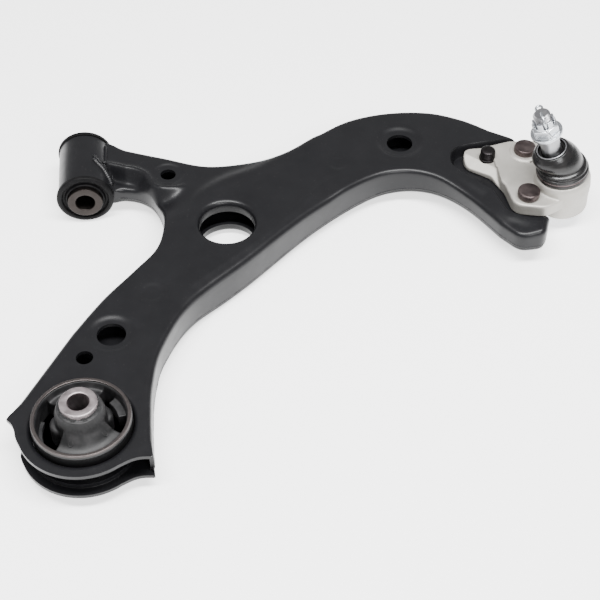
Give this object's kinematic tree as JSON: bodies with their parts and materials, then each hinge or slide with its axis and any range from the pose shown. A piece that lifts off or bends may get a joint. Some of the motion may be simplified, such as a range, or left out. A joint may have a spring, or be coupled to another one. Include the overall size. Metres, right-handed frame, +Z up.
{
  "type": "control arm",
  "caption": "Front lower suspension arm of pressed steel shells, with a horizontal front bush, a vertical rear bush and a bolted ball joint.",
  "frame": {"origin": "middle of the bounding box, on the plane that the arm rests on", "axes": "+X outboard towards the ball joint, +Y along the pivot axis from the rear bush to the front bush, +Z up, the side that the stud stands on"},
  "size_m": [0.4622, 0.356, 0.1117],
  "materials": {
    "black_paint": "satin black electrocoat over pressed steel",
    "rubber": "moulded black rubber, matt",
    "bare_steel": "turned and ground steel with light oil",
    "bracket_coating": "matt silver zinc-flake coating over a forging",
    "zinc_plate": "bright zinc plating",
    "dark_steel": "phosphated and oiled steel",
    "seat_plastic": "moulded acetal"
  },
  "bodies": {
    "arm": {"upper_shell": "black_paint", "lower_shell": "black_paint", "front_eye_tube": "black_paint", "front_bush_outer_sleeve": "bare_steel", "front_bush_rubber": "rubber", "rear_bush_outer_sleeve": "bare_steel", "rear_bush_rubber": "rubber", "ball_joint_bracket": "bracket_coating", "upper_ball_seat": "seat_plastic", "lower_ball_seat": "seat_plastic", "preload_spring": "bare_steel", "housing_end_cap": "zinc_plate", "boot_base_ring": "dark_steel", "press_stud_near": "dark_steel", "press_stud_far": "dark_steel", "flange_nut_near": "dark_steel", "flange_nut_far": "dark_steel", "bracket_bolt": "dark_steel"},
    "front_sleeve": {"front_bush_inner_sleeve": "bare_steel"},
    "rear_sleeve": {"rear_bush_inner_sleeve": "bare_steel"},
    "boot": {"dust_boot": "rubber"},
    "boot_lip": {"boot_top_ring": "dark_steel"},
    "stud": {"ball_stud": "bare_steel", "castle_nut": "zinc_plate", "cotter_pin": "zinc_plate"}
  },
  "joints": [
    {"name": "front_bush_twist", "type": "hinge", "parent": "arm", "child": "front_sleeve", "pos_m": [-0.17907, 0.13583, 0.023], "axis": [0, 1, 0], "range_deg": [-22, 22], "stiffness_Nm_per_rad": 60},
    {"name": "rear_bush_tilt", "type": "hinge", "parent": "arm", "child": "rear_sleeve", "pos_m": [-0.17907, -0.13317, 0.025], "axis": [0, 1, 0], "range_deg": [-12, 12], "stiffness_Nm_per_rad": 80, "deforming": ["rear_bush_rubber"]},
    {"name": "ball_swing", "type": "hinge", "parent": "arm", "child": "boot", "pos_m": [0.20643, 0.07323, 0.033], "axis": [0, 1, 0], "range_deg": [-8, 32], "deforming": ["dust_boot"]},
    {"name": "ball_tilt", "type": "hinge", "parent": "boot", "child": "boot_lip", "pos_m": [0.20643, 0.07323, 0.033], "axis": [1, 0, 0], "range_deg": [-20, 20], "deforming": ["dust_boot"]},
    {"name": "stud_spin", "type": "hinge", "parent": "boot_lip", "child": "stud", "pos_m": [0.20643, 0.07323, 0.033], "axis": [-0.342, 0, 0.9397], "continuous": true}
  ]
}
